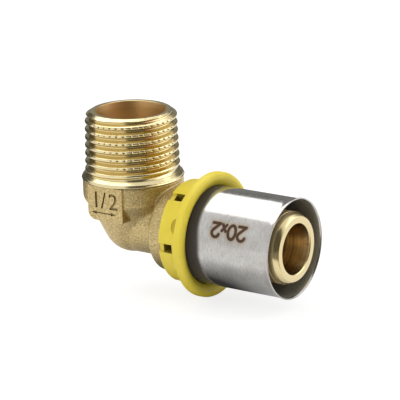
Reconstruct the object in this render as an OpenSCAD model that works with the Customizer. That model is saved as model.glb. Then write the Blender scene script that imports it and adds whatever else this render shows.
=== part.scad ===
// Press elbow with a male taper thread, for 20 x 2 mm multilayer pipe.
// Origin: centre of the collar's top face, where the thread starts.
// +Z runs up the thread axis, +X runs out along the pipe axis.

/* [Thread] */
// Outside diameter of the taper thread at its gauge plane
thread_d = 20.955; // [19.5:0.005:22]
// Distance between two crests, 14 turns to the inch
thread_pitch = 1.814; // [1.4:0.001:2.2]
// Depth of the thread groove as a share of the pitch
thread_depth_ratio = 0.64; // [0.5:0.01:0.65]
// Growth of the thread diameter for each millimetre along it
thread_taper = 0.0625; // [0:0.0005:0.08]
// Length of the tail above the collar
thread_length = 13.4; // [11:0.1:16]
// Distance from the small end to the gauge plane
gauge_length = 8.2; // [6:0.1:10]
// Height of the plain groove between the collar and the thread
runout_h = 0.2; // [0.1:0.1:1.2]
// Depth of that groove as a share of the thread's depth
runout_depth_ratio = 0.7; // [0.4:0.05:1.2]
// Height of a crest above the collar's top face, on the pipe's side
crest_rise = 1.05; // [0:0.05:1.8]
// Bore of the threaded end
tail_bore_d = 15.6; // [13:0.1:16.4]
// Width of the flat rim at the threaded end
rim_w = 1.1; // [0.6:0.1:1.4]
// Width of the small chamfer inside the rim
rim_inner_chamfer = 0.2; // [0:0.05:0.4]

/* [Collar] */
// Diameter of the machined band on the collar
collar_d = 22.9; // [22:0.1:25]
// Height of the machined band
band_h = 1.65; // [1.5:0.05:3]
// Height of the chamfer above the band
band_chamfer = 1; // [0.3:0.05:1.1]
// Height of the proud lip along the band's lower edge
lip_h = 0.35; // [0.2:0.05:0.5]
// Step from the machined band out to its lip
lip_step = 0.17; // [0.05:0.01:0.3]
// Step from the lip in to the forged collar
forged_step = 0.17; // [0.05:0.01:0.3]
// Height of the collar down to where its lower edge starts to round
collar_h = 5.4; // [4.5:0.1:6.5]
// Radius of the collar's lower edge
collar_edge_r = 2.5; // [1.5:0.1:2.8]
// Angle that the rounded lower edge turns through
collar_edge_turn = 50; // [30:1:60]

/* [Elbow] */
// Depth of the pipe axis below the collar's top face
axis_drop = 12.3; // [11.5:0.1:15]
// Half angle of the tapered trunk, which runs into the round heel
trunk_half_angle = 25.6; // [20:0.1:28]
// Height of the hollow between the collar's edge and the trunk
trunk_hollow = 0.7; // [0.3:0.1:1.2]
// Diameter of the round heel of the elbow
heel_d = 14.2; // [13.8:0.1:16]
// Height of the heel's centre above the pipe axis
heel_rise = 0.2; // [0:0.05:0.6]
// Diameter of the short level part
arm_d = 13.4; // [12.8:0.1:13.7]
// Bend radius of the inside corner, along the tube's centre
bend_r = 8; // [7.4:0.1:9]
// Bore along the pipe axis inside the elbow
arm_bore_d = 10.4; // [9:0.1:10.9]
// Bore down from the tail into the elbow
trunk_bore_d = 10; // [8:0.1:10.2]
// Depth of the wide tail bore below the collar's top face
tail_bore_depth = 5.1; // [3:0.1:6]
// Distance that the level bore runs past the thread axis
bore_overrun = 3.2; // [2:0.1:3.6]
// Angle of the drill tips that end the bores
drill_tip_angle = 118; // [100:1:140]

/* [Wrench flats] */
// Distance across the two flats
flats_across = 21.5; // [20.8:0.1:22]
// Width of each flat
flat_w = 9.5; // [7:0.1:10.5]
// Offset of the flats towards the pipe
flat_offset = -0.1; // [-0.5:0.1:0.8]
// Depth of a flat's lower edge below the collar's top face
flat_drop = 9.7; // [8:0.1:10]
// Radius of a flat's lower corner, on the side away from the pipe
flat_corner_r = 1.9; // [0.5:0.1:2.5]

/* [Shoulder] */
// Distance from the thread axis to the shoulder's inner face
shoulder_x = 10.1; // [9.4:0.1:11.5]
// Length of the shoulder along the pipe axis
shoulder_l = 4.3; // [3.4:0.1:5]
// Diameter of the shoulder
shoulder_d = 19.2; // [18.4:0.1:20.5]
// Radius of the shoulder's outer edge
shoulder_edge_r = 0.9; // [0.4:0.1:1.2]
// Radius of the hollow where the arm meets the shoulder
shoulder_fillet_r = 0.8; // [0.3:0.1:0.9]

/* [Nipple] */
// Distance from the thread axis to the end of the nipple
reach = 42.8; // [41:0.1:46]
// Outside diameter of the nipple, which enters the pipe
nipple_d = 15.9; // [15.5:0.05:16]
// Bore of the nipple
nipple_bore_d = 11.1; // [10.9:0.1:11.6]
// Diameter of the groove that the retaining ring snaps into
snap_groove_d = 14; // [13.6:0.1:14.4]
// Axial length of the bevel at the end of the nipple
nose_l = 1.3; // [0.3:0.1:1.6]
// Width of the flat face left at the end of the nipple
nose_face_w = 1.6; // [0.6:0.1:1.8]
// Diameter of the floor of each seal groove
seal_floor_d = 13.3; // [13.1:0.1:13.6]
// Width of each seal groove
seal_groove_w = 2.3; // [2:0.1:2.6]
// Distance from the end of the nipple to the front seal's middle
front_seal_setback = 10; // [9:0.1:11]
// Distance between the middles of the two seals
seal_spacing = 8; // [7.6:0.1:9]
// Number of barbs between the seals
barb_count = 3; // [1:1:3]
// Length of each barb
barb_l = 1.4; // [1:0.1:1.5]
// Depth of each barb
barb_depth = 0.45; // [0.2:0.05:0.6]

/* [Seals] */
// Thickness of each O-ring
o_ring_section = 1.78; // [1.6:0.02:1.9]

/* [Press sleeve] */
// Outside diameter of the sleeve
sleeve_d = 21.8; // [21.6:0.1:22.4]
// Wall of the sleeve
sleeve_wall = 0.5; // [0.4:0.05:0.7]
// Distance from the end of the nipple back to the sleeve's mouth
mouth_setback = 0.4; // [0:0.1:1]
// Length of the flared lip at the mouth
lip_l = 1.2; // [0.6:0.1:2]
// Growth of the radius at the flared lip
lip_flare = 0.22; // [0:0.02:0.4]

/* [Retaining ring] */
// Diameter of the hub
hub_d = 22.9; // [22.8:0.1:24]
// Length of the hub from its back face to the flange
hub_l = 5.3; // [5:0.1:6]
// Diameter of the flange
flange_d = 27.8; // [27:0.1:30]
// Thickness of the flange
flange_t = 2.5; // [2:0.1:3.2]
// Radius of the flange's outer edges
flange_edge_r = 0.8; // [0.2:0.1:1]
// Radius of the hollow where the hub meets the flange
flange_fillet_r = 0.6; // [0.3:0.1:0.9]
// Thickness of the web that seats on the nipple
web_t = 1.5; // [1.2:0.1:1.8]
// Distance from the ring's back face to the sleeve's seat
seat_depth = 3.7; // [3.6:0.1:4.2]
// Diameter of the pocket that takes the end of the pipe
pipe_pocket_d = 20.4; // [20.2:0.1:20.6]
// Depth of the dished front face
dish_depth = 1; // [0.5:0.1:1.4]
// Width of the dished front face
dish_w = 1.6; // [1:0.1:1.7]
// Number of windows that show the end of the pipe
window_count = 6; // [3:1:8]
// Width of each window
window_w = 1.7; // [1.2:0.1:2.4]
// Length of each window along the pipe axis
window_l = 2; // [1.2:0.1:2]
// Turn of the first window about the pipe axis
window_turn = 34; // [0:1:60]
// Depth of the notch behind each window
notch_depth = 0.8; // [0.4:0.1:1]
// Depth of the shallow pockets between the windows
pocket_depth = 0.35; // [0.2:0.05:0.4]
// Angle that each shallow pocket spans
pocket_angle = 20; // [8:1:24]
// Length of each shallow pocket along the pipe axis
pocket_l = 1.3; // [0.8:0.1:1.4]
// Distance between a shallow pocket and the hollow beside the flange
pocket_gap = 0.1; // [0.05:0.05:0.3]

/* [Fits] */
// Radial clearance between the sleeve and its seat
sleeve_clearance = 0.05; // [0.02:0.01:0.15]
// Clearance between the retaining ring and the brass
ring_clearance = 0.1; // [0.05:0.01:0.2]
// Radial clearance under each O-ring
seal_clearance = 0.02; // [0.01:0.01:0.05]

/* [Hidden] */
$fn = 96;
past = 1;
arc_step = 15;
small_chamfer = 0.3;
bend_relief = 0.1;

thread_steps = 48;
crest_share = 0.2;
root_share = 0.18;
spare_turns = 3;
thread_depth = thread_depth_ratio * thread_pitch;
crest_half = crest_share / 2 * thread_pitch;
root_half = root_share / 2 * thread_pitch;
thread_crest_base_r = thread_crest_r(0);
neck_r = thread_crest_base_r - runout_depth_ratio * thread_depth;
bevel_slope = 1.6;

collar_r = collar_d / 2;
band_r = collar_r - lip_step;
forged_r = collar_r - forged_step;
forged_top = band_h + forged_step;
flat_y = flats_across / 2;
tip_slope = tan(drill_tip_angle / 2);

flat_left = flat_offset - flat_w / 2;
flat_right = flat_offset + flat_w / 2;
heel_z = -axis_drop + heel_rise;

shoulder_end = shoulder_x + shoulder_l;
nipple_r = nipple_d / 2;
front_seal_x = reach - front_seal_setback;
rear_seal_x = front_seal_x - seal_spacing;
barb_start = (front_seal_x + rear_seal_x - barb_count * barb_l) / 2;
o_ring_r = seal_floor_d / 2 + seal_clearance + o_ring_section / 2;

ring_back = shoulder_end + ring_clearance;
web_front = ring_back + web_t;
sleeve_seat = ring_back + seat_depth;
flange_back = ring_back + hub_l;
flange_front = flange_back + flange_t;
sleeve_back = sleeve_seat + sleeve_clearance;
sleeve_mouth = reach - mouth_setback;
sleeve_r = sleeve_d / 2;
ring_bore_r = sleeve_r + sleeve_clearance;

// Crest radius of the thread at a height above the collar
function thread_crest_r(z) = (thread_d + (thread_length - z - gauge_length) * thread_taper) / 2;

// Largest radius that the bevel at the small end leaves at a height
function bevel_r(z) = tail_bore_d / 2 + rim_w + bevel_slope * (thread_length - z);

// Points of an arc in a profile, from one angle to another
function arc(centre, r, from, to) = [
    for (i = [0 : ceil(abs(to - from) / arc_step)])
        let (a = from + (to - from) * i / ceil(abs(to - from) / arc_step))
            centre + r * [cos(a), sin(a)]
];

// Turns a profile of [distance along the axis, radius] about the pipe axis
module about_pipe_axis() {
    translate([0, 0, -axis_drop])
        rotate([0, 90, 0])
            rotate_extrude()
                mirror([1, -1])
                    children();
}

// Places children along the pipe axis, turned by an angle about it
module on_pipe_axis(turn = 0) {
    translate([0, 0, -axis_drop])
        rotate([0, 90, 0])
            rotate([0, 0, turn])
                children();
}

// One pitch of the thread profile as [rise, is it a crest]
thread_profile = [
    [-crest_half, 1],
    [crest_half, 1],
    [thread_pitch / 2 - root_half, 0],
    [thread_pitch / 2 + root_half, 0]
];
thread_levels = len(thread_profile);
thread_turns = ceil(thread_length / thread_pitch) + spare_turns;

// Point of the helical surface at one step round and one level up
function thread_point(step, level) =
    let (
        profile = thread_profile[level % thread_levels],
        turn = floor(level / thread_levels) - 1,
        z = thread_pitch * (turn + step / thread_steps) + crest_rise + profile[0],
        crest = min(thread_crest_r(z), bevel_r(z)),
        root = min(thread_crest_r(z) - thread_depth, bevel_r(z)),
        r = max(profile[1] == 1 ? crest : root, tail_bore_d / 2 + rim_w / 2),
        a = 360 * step / thread_steps
    )
    [r * cos(a), r * sin(a), z];

// Right-hand helical solid, longer than the tail at both ends
module thread_helix() {
    levels = thread_turns * thread_levels;
    rows = levels + 1;
    ring = [for (s = [0 : thread_steps - 1], l = [0 : levels]) thread_point(s, l)];
    bottom = len(ring);
    top = bottom + 1;
    centres = [[0, 0, -spare_turns * thread_pitch], [0, 0, thread_pitch * (thread_turns + 1)]];
    walls = [
        for (s = [0 : thread_steps - 2], l = [0 : levels - 1])
            each [
                [s * rows + l, s * rows + l + 1, (s + 1) * rows + l + 1],
                [s * rows + l, (s + 1) * rows + l + 1, (s + 1) * rows + l]
            ]
    ];
    last = (thread_steps - 1) * rows;
    seam = [
        for (l = [0 : levels - thread_levels - 1])
            each [
                [last + l, last + l + 1, l + thread_levels + 1],
                [last + l, l + thread_levels + 1, l + thread_levels]
            ]
    ];
    low = [
        for (s = [0 : thread_steps - 2]) [bottom, s * rows, (s + 1) * rows],
        [bottom, last, thread_levels],
        for (l = [0 : thread_levels - 1]) [bottom, l + 1, l]
    ];
    high_start = levels - thread_levels;
    high = [
        for (s = [0 : thread_steps - 2]) [top, (s + 1) * rows + levels, s * rows + levels],
        [top, levels, last + high_start],
        for (l = [high_start : levels - 1]) [top, last + l, last + l + 1]
    ];
    polyhedron(points = concat(ring, centres), faces = concat(walls, seam, low, high));
}

// Threaded tail, cut square at both ends
module threaded_tail() {
    intersection() {
        thread_helix();
        translate([0, 0, runout_h])
            cylinder(r = collar_d, h = thread_length - runout_h);
    }
    translate([0, 0, -band_chamfer])
        cylinder(r = neck_r, h = band_chamfer + runout_h + small_chamfer);
}

// Radius of the tapered trunk at a height, along the cone that touches the round heel
function trunk_r(z) = (heel_d / 2 + (z - heel_z) * sin(trunk_half_angle)) / cos(trunk_half_angle);

// Collar, tapered trunk and round heel, as one turned profile
module collar_and_trunk() {
    trunk_top = -collar_h - collar_edge_r - trunk_hollow;
    rotate_extrude()
        polygon(concat(
            [[0, 0], [thread_crest_base_r - small_chamfer / 2, 0]],
            [[band_r, -band_chamfer], [band_r, -band_h + lip_h]],
            [[collar_r, -band_h + lip_h - lip_step], [collar_r, -band_h], [forged_r, -forged_top]],
            arc([forged_r - collar_edge_r, -collar_h], collar_edge_r, 0, -collar_edge_turn),
            [[trunk_r(trunk_top), trunk_top]],
            arc([0, heel_z], heel_d / 2, -trunk_half_angle, -90)
        ));
}

// Inside corner of the elbow, a quarter of a torus
module inside_bend() {
    translate([bend_r, 0, bend_r - axis_drop])
        rotate([90, 0, 0])
            rotate_extrude(angle = 90, start = 180)
                translate([bend_r, 0])
                    circle(d = arm_d - bend_relief);
}

// Level arm, shoulder and nipple, as one turned profile
module arm_and_nipple() {
    arm_r = arm_d / 2;
    shoulder_r = shoulder_d / 2;
    snap_r = snap_groove_d / 2;
    snap_end = web_front + ring_clearance;
    about_pipe_axis()
        polygon(concat(
            [[0, 0], [0, arm_r]],
            arc([shoulder_x - shoulder_fillet_r, arm_r + shoulder_fillet_r], shoulder_fillet_r, 270, 360),
            arc([shoulder_x + shoulder_edge_r, shoulder_r - shoulder_edge_r], shoulder_edge_r, 180, 90),
            [[shoulder_end, shoulder_r], [shoulder_end, snap_r]],
            [[snap_end, snap_r], [snap_end, nipple_r - small_chamfer], [snap_end + small_chamfer, nipple_r]],
            seal_groove_profile(rear_seal_x),
            [for (i = [0 : barb_count - 1]) each [
                [barb_start + i * barb_l, nipple_r],
                [barb_start + i * barb_l, nipple_r - barb_depth]
            ]],
            [[barb_start + barb_count * barb_l, nipple_r]],
            seal_groove_profile(front_seal_x),
            [[reach - nose_l, nipple_r], [reach, nipple_bore_d / 2 + nose_face_w], [reach, 0]]
        ));
}

// Four corners of one seal groove
function seal_groove_profile(x) = [
    [x - seal_groove_w / 2, nipple_r],
    [x - seal_groove_w / 2, seal_floor_d / 2],
    [x + seal_groove_w / 2, seal_floor_d / 2],
    [x + seal_groove_w / 2, nipple_r]
];

// Outline of one wrench flat as [x, z], with its far lower corner rounded
flat_outline = concat(
    [[flat_left, -forged_top]],
    arc([flat_left + flat_corner_r, -flat_drop + flat_corner_r], flat_corner_r, 180, 270),
    [[flat_right - small_chamfer, -flat_drop], [flat_right, -flat_drop + small_chamfer]],
    [[flat_right, -forged_top]]
);

// Both pads that carry the wrench flats
module flat_pads() {
    rotate([90, 0, 0])
        linear_extrude(flats_across, center = true)
            polygon(flat_outline);
}

// Cuts the collar back to the planes of the wrench flats
module flat_cuts() {
    for (side = [-1, 1])
        translate([flat_left, side * flat_y - (side < 0 ? collar_r : 0), -flat_drop])
            cube([flat_w, collar_r, flat_drop - forged_top]);
}

// Bores from both ends, which meet in the elbow
module bores() {
    tail_r = tail_bore_d / 2;
    trunk_bore_r = trunk_bore_d / 2;
    arm_bore_r = arm_bore_d / 2;
    step_x = shoulder_end - past;
    tail_tip = (tail_r - trunk_bore_r) / tip_slope;
    rotate_extrude()
        polygon([
            [0, -axis_drop],
            [trunk_bore_r, -axis_drop],
            [trunk_bore_r, -tail_bore_depth - tail_tip],
            [tail_r, -tail_bore_depth],
            [tail_r, thread_length - rim_inner_chamfer],
            [tail_r + rim_inner_chamfer + past, thread_length + past],
            [0, thread_length + past]
        ]);
    about_pipe_axis()
        polygon([
            [-bore_overrun - arm_bore_r / tip_slope, 0],
            [-bore_overrun, arm_bore_r],
            [step_x, arm_bore_r],
            [step_x, nipple_bore_d / 2],
            [reach - small_chamfer, nipple_bore_d / 2],
            [reach + past, nipple_bore_d / 2 + small_chamfer + past],
            [reach + past, 0]
        ]);
}

// Forged and machined brass body
module elbow_body() {
    color("#C9AC6E")
        difference() {
            union() {
                threaded_tail();
                difference() {
                    collar_and_trunk();
                    flat_cuts();
                }
                flat_pads();
                inside_bend();
                arm_and_nipple();
            }
            bores();
        }
}

// Thin steel sleeve with a flared mouth
module press_sleeve() {
    lip_start = sleeve_mouth - lip_l;
    inner_r = sleeve_r - sleeve_wall;
    color("#B9B7B4")
        about_pipe_axis()
            polygon([
                [sleeve_back, inner_r],
                [sleeve_back, sleeve_r],
                [lip_start, sleeve_r],
                [sleeve_mouth, sleeve_r + lip_flare],
                [sleeve_mouth, inner_r + lip_flare],
                [lip_start, inner_r]
            ]);
}

// Plain turned form of the retaining ring
module ring_blank() {
    hub_r = hub_d / 2;
    flange_r = flange_d / 2;
    web_r = snap_groove_d / 2 + ring_clearance;
    about_pipe_axis()
        polygon(concat(
            [[ring_back, web_r], [ring_back, hub_r - small_chamfer], [ring_back + small_chamfer, hub_r]],
            arc([flange_back - flange_fillet_r, hub_r + flange_fillet_r], flange_fillet_r, 270, 360),
            arc([flange_back + flange_edge_r, flange_r - flange_edge_r], flange_edge_r, 180, 90),
            arc([flange_front - flange_edge_r, flange_r - flange_edge_r], flange_edge_r, 90, 0),
            [[flange_front, ring_bore_r + dish_w], [flange_front - dish_depth, ring_bore_r]],
            [[sleeve_seat, ring_bore_r], [sleeve_seat, pipe_pocket_d / 2]],
            [[web_front, pipe_pocket_d / 2], [web_front, web_r]]
        ));
}

// Window through the wall, with the open notch behind it
module window_and_notch() {
    window_start = sleeve_seat - window_l - small_chamfer / 2;
    translate([pipe_pocket_d / 2 - past, -window_w / 2, window_start])
        cube([hub_d / 2, window_w, window_l]);
    translate([hub_d / 2 - notch_depth, -window_w / 2, ring_back - past])
        cube([hub_d / 2, window_w, window_start - ring_back + 2 * past]);
}

// Shallow pocket in the hub, beside the flange
module shallow_pocket() {
    rotate([0, 0, -pocket_angle / 2])
        rotate_extrude(angle = pocket_angle)
            translate([hub_d / 2 - pocket_depth, flange_back - flange_fillet_r - pocket_gap - pocket_l])
                square([pocket_depth + past, pocket_l]);
}

// Moulded ring that holds the sleeve on the nipple
module retaining_ring() {
    step = 360 / window_count;
    color("#DFCB4A")
        difference() {
            ring_blank();
            for (i = [0 : window_count - 1]) {
                on_pipe_axis(window_turn + i * step)
                    window_and_notch();
                on_pipe_axis(window_turn + (i + 0.5) * step)
                    shallow_pocket();
            }
        }
}

// Rubber O-ring round the nipple
module o_ring(x) {
    color("#1F1F20")
        about_pipe_axis()
            translate([x, o_ring_r])
                circle(d = o_ring_section);
}

module front_o_ring() {
    o_ring(front_seal_x);
}

module rear_o_ring() {
    o_ring(rear_seal_x);
}

elbow_body();
press_sleeve();
retaining_ring();
front_o_ring();
rear_o_ring();
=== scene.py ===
"""Looks of a brass press elbow with a male taper thread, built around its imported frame."""

import math

import bmesh
import bpy
from mathutils import Matrix, Vector


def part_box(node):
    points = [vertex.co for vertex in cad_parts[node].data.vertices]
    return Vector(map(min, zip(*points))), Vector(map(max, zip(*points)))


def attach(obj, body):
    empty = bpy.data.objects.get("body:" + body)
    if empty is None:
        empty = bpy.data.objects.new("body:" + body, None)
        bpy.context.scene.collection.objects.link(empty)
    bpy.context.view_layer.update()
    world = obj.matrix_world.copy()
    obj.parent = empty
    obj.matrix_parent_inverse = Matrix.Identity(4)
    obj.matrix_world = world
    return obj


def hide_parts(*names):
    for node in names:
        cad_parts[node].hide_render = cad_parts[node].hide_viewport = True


MM = 0.001
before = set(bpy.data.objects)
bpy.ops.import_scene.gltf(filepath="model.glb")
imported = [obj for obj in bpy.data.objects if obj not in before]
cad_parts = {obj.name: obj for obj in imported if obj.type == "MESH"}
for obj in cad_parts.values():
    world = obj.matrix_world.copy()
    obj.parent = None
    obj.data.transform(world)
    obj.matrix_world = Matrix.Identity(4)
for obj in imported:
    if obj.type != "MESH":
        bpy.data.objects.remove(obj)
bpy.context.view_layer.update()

# Places read from the frame, in millimetres
body_low, body_high = (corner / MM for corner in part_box("elbow_body"))
sleeve_low, sleeve_high = (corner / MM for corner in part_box("press_sleeve"))
ring_low, ring_high = (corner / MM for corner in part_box("retaining_ring"))

THREAD_TOP = body_high.z
REACH = body_high.x
AXIS_DROP = -(sleeve_low.z + sleeve_high.z) / 2
SLEEVE_BACK, SLEEVE_MOUTH = sleeve_low.x, sleeve_high.x
RING_BACK, FLANGE_FRONT = ring_low.x, ring_high.x
FLANGE_R = ring_high.y

# Thread, and the small notches along its crest
THREAD_D = 20.955
PITCH = 1.814
THREAD_DEPTH = 1.05
TAPER = 1 / 16
GAUGE_LENGTH = 8.2
TAIL_BORE_R = 7.8
RIM_W = 1.1
RIM_BEVEL_SLOPE = 1.6
CREST_PHASE = -0.42
RUNOUT_TOP = 1.6
THREAD_BOTTOM = -0.35
RUNOUT_DEPTH_SHARE = 0.35
# Share of painted shade stored down in the thread's grooves
GROOVE_PAINTED_SHADE = 0.5
NOTCHES_PER_TURN = 41.02
NOTCH_PHASE = 0.88
NOTCH_STEPS = 10
NOTCH_DEPTH = 0.3
NOTCH_WIDTH = 0.13
NOTCH_REACH = 0.115
NOTCH_BOTTOM = 1.9
NOTCH_FADE_BAND = 0.9
NOTCH_FADE_HEIGHT = 6.0
NOTCH_FADE_SIDE = -155
NOTCH_FADE_ANGLE = 92
NOTCH_FADE_SPAN = 44
NOTCH_FREE_ANGLE = 44
NOTCH_FREE_SPAN = 6

# Collar and elbow
NECK_R = 10.6
SHELF_Z = -1.12
COLLAR_R = 11.45
BAND_BOTTOM = -1.65
FORGED_R = 11.28
COLLAR_EDGE_Z = -5.4
COLLAR_EDGE_R = 2.5
TRUNK_HALF_ANGLE = 25.6
TRUNK_TOP = -8.6
HEEL_R = 7.1
HEEL_RISE = 0.2
ARM_R = 6.7
BEND_R = 8.0
FLAT_HALF = 10.75
FLAT_LEFT = -4.85
FLAT_RIGHT = 4.6
FLAT_DROP = 9.7
FLAT_CORNER_R = 1.9
SHOULDER_X = 10.1
SHOULDER_END = 14.4
SHOULDER_R = 9.6
SHOULDER_EDGE_R = 0.9
TAIL_BORE_DEPTH = 5.1
TRUNK_BORE_R = 5.0
ARM_BORE_R = 5.2
BORE_OVERRUN = 3.2
DRILL_TIP_SLOPE = math.tan(math.radians(59))
FORGED_VOXEL = 0.17
FORGED_SMOOTHING = 8
CROTCH_SMOOTHING = 90
CROTCH_X = (1.5, 9.9)
CROTCH_Z = (-16.5, -6.2)
PAD_EDGE_X = 5.4
PAD_EDGE_Z = -11.0

# Nipple
NIPPLE_R = 7.95
NIPPLE_BORE_R = 5.55
NOSE_R = 7.15
SNAP_R = 7.0
SNAP_END = 16.1
SEAL_FLOOR_R = 6.65
SEAL_W = 2.3
SEAL_SECTION_R = 0.89
SEAL_CLEARANCE = 0.02
FRONT_SEAL_X = REACH - 10
REAR_SEAL_X = FRONT_SEAL_X - 8
BARB_COUNT = 3
BARB_L = 1.4
BARB_DEPTH = 0.45
POLISHED_NOSE_L = 1.3

# Sleeve
SLEEVE_R = 10.9
SLEEVE_WALL = 0.5
LIP_L = 1.2
LIP_FLARE = 0.22
BAND_EDGE_X = 24.0

# Size mark on the sleeve, read from the mouth, and the one on the front pad
MARK_START_X = 36.1
MARK_BASE_ANGLE = 34.6
MARK_HEIGHT = 3.05
MARK_LENGTH = 3.0
MARK_MARGIN = 0.5
MARK_STROKE = 0.41
MARK_EDGE = 0.16
MARK_HALO = 0.32
MARK_HALO_W = 0.75
PAD_MARK_X = -3.7
PAD_MARK_Z = -6.7
PAD_MARK_SIZE = 5.2
ARROW_X = 3.3
ARROW_Z = -1.15
ENGRAVING_DEPTH = 0.32

# Retaining ring
HUB_R = 11.45
HUB_L = 5.3
WINDOW_COUNT = 6
WINDOW_TURN = 34
WINDOW_W = 2.0
WINDOW_L = 2.6
WINDOW_FLOOR_R = 8.0
OPEN_NOTCH_DEPTH = 0.8
POCKET_DEPTH = 0.36
POCKET_W = 3.6
POCKET_L = 2.0
SEAT_X = RING_BACK + 3.7
PIPE_POCKET_R = 10.2
RING_BORE_R = 10.95

# Studio
AMBIENT = 0.7
FLOOR_LIFT = 0.78
FLOOR_Z = -AXIS_DROP - FLANGE_R - 0.1
CARD_DISTANCE = 0.5
LIGHT_TARGET = Vector((0.015, 0, -0.01))

# Camera, from a fit to the photograph at 400 pixels
CAMERA_AZIMUTH = 34.92
CAMERA_ELEVATION = 16.77
CAMERA_ROLL = -1.72
CAMERA_DISTANCE = 513.2
PIXELS_PER_MM = 4.458
FRAME_PIXELS = 400
TARGET_RIGHT = 14.72
TARGET_UP = 4.09
SENSOR_WIDTH = 36.0


def ring_points(centre, radius, start, end, count):
    """Points of an arc in a profile, at angles in degrees from start to end."""
    points = []
    for i in range(count + 1):
        angle = math.radians(start + (end - start) * i / count)
        points.append((centre[0] + radius * math.cos(angle), centre[1] + radius * math.sin(angle)))
    return points


def add_profile(bm, points, closed):
    """A wire of [radius, height] points in the XZ plane."""
    verts = [bm.verts.new((r * MM, 0, z * MM)) for r, z in points]
    edges = [bm.edges.new(pair) for pair in zip(verts, verts[1:])]
    if closed:
        edges.append(bm.edges.new((verts[-1], verts[0])))
    return verts + edges


def turned(points, steps=240):
    """A solid of revolution about Z from [radius, height] points in millimetres."""
    bm = bmesh.new()
    wire = add_profile(bm, points, closed=True)
    bmesh.ops.spin(bm, geom=wire, cent=(0, 0, 0), axis=(0, 0, 1), dvec=(0, 0, 0),
                   angle=math.tau, steps=steps, use_merge=True, use_duplicate=False)
    bmesh.ops.remove_doubles(bm, verts=bm.verts[:], dist=1e-7)
    bmesh.ops.recalc_face_normals(bm, faces=bm.faces[:])
    return bm


def pipe_axis_matrix():
    """Turns what was made about Z so that it lies about the pipe axis."""
    return Matrix.Translation((0, 0, -AXIS_DROP * MM)) @ Matrix.Rotation(math.radians(90), 4, "Y")


def turned_on_pipe(points, steps=240):
    """A solid of revolution about the pipe axis, from [distance along it, radius] points."""
    bm = turned([(r, x) for x, r in points], steps)
    bm.transform(pipe_axis_matrix())
    return bm


def finish_piece(name, bm, materials, sharp=40):
    """Makes an object at the origin from a bmesh, shaded smooth up to an angle."""
    bmesh.ops.recalc_face_normals(bm, faces=bm.faces[:])
    mesh = bpy.data.meshes.new(name)
    bm.to_mesh(mesh)
    bm.free()
    for material in materials:
        mesh.materials.append(material)
    mesh.shade_smooth()
    mesh.set_sharp_from_angle(angle=math.radians(sharp))
    piece = bpy.data.objects.new(name, mesh)
    bpy.context.collection.objects.link(piece)
    return piece


def baked(piece):
    """The piece's mesh with its modifiers applied, as a bmesh. The piece is removed."""
    bpy.context.view_layer.update()
    evaluated = piece.evaluated_get(bpy.context.evaluated_depsgraph_get())
    bm = bmesh.new()
    bm.from_mesh(evaluated.to_mesh())
    evaluated.to_mesh_clear()
    bpy.data.objects.remove(piece, do_unlink=True)
    return bm


def combined(piece, other, operation, overlapping=False):
    """The union or difference of two pieces as a bmesh, with both sides' materials. Both are removed."""
    join = piece.modifiers.new("join", "BOOLEAN")
    join.operation = operation
    join.solver = "EXACT"
    join.use_self = overlapping
    join.object = other
    bm = baked(piece)
    bpy.data.objects.remove(other, do_unlink=True)
    return bm


def mark_bore(piece, axis, radius):
    """Gives the faces inside a bore about the thread (Z) or pipe (X) axis the piece's second material."""
    for face in piece.data.polygons:
        centre = face.center / MM
        if axis == "Z":
            outward = Vector((centre.x, centre.y, 0))
        else:
            outward = Vector((0, centre.y, centre.z + AXIS_DROP))
        if outward.length < radius and face.normal.dot(outward) < -0.3 * outward.length:
            face.material_index = 1


# Node groups


def new_group(name, inputs, outputs):
    """An empty shader node group with float inputs {name: default} and (name, type) outputs."""
    group = bpy.data.node_groups.new(name, "ShaderNodeTree")
    for label, value in inputs.items():
        socket = group.interface.new_socket(name=label, in_out="INPUT", socket_type="NodeSocketFloat")
        socket.default_value = value
    for label, kind in outputs:
        group.interface.new_socket(name=label, in_out="OUTPUT", socket_type=kind)
    start = group.nodes.new("NodeGroupInput")
    end = group.nodes.new("NodeGroupOutput")
    return group, start, end


def math_node(nodes, links, operation, first, second=None):
    """A Math node fed by sockets or plain numbers; gives its output socket."""
    node = nodes.new("ShaderNodeMath")
    node.operation = operation
    for socket, value in zip(node.inputs, (first, second)):
        if value is None:
            continue
        if isinstance(value, (int, float)):
            socket.default_value = value
        else:
            links.new(value, socket)
    return node.outputs[0]


def noise(nodes, links, place, scale, detail):
    """A Noise texture over a vector socket, scaled by a socket or a number; gives its factor."""
    node = nodes.new("ShaderNodeTexNoise")
    if isinstance(scale, float):
        node.inputs["Scale"].default_value = scale
    else:
        links.new(scale, node.inputs["Scale"])
    node.inputs["Detail"].default_value = detail
    links.new(place, node.inputs["Vector"])
    return node.outputs["Fac"]


def shot_blast_group():
    """Sandy grain of a forged and shot-blasted surface: a height and a speckle mask."""
    group, start, end = new_group(
        "shot_blast_grain",
        {"Grain Scale": 3800.0, "Speckle Scale": 3000.0},
        [("Height", "NodeSocketFloat"), ("Speckle", "NodeSocketFloat")],
    )
    nodes, links = group.nodes, group.links
    place = nodes.new("ShaderNodeTexCoord").outputs["Object"]
    grain = noise(nodes, links, place, start.outputs["Grain Scale"], detail=2.0)
    speckle = noise(nodes, links, place, start.outputs["Speckle Scale"], detail=3.0)
    pits = nodes.new("ShaderNodeTexVoronoi")
    pits.feature = "SMOOTH_F1"
    pits.inputs["Smoothness"].default_value = 0.6
    links.new(place, pits.inputs["Vector"])
    links.new(start.outputs["Grain Scale"], pits.inputs["Scale"])
    height = math_node(nodes, links, "ADD", grain, pits.outputs["Distance"])
    links.new(height, end.inputs["Height"])
    links.new(speckle, end.inputs["Speckle"])
    return group


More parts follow.
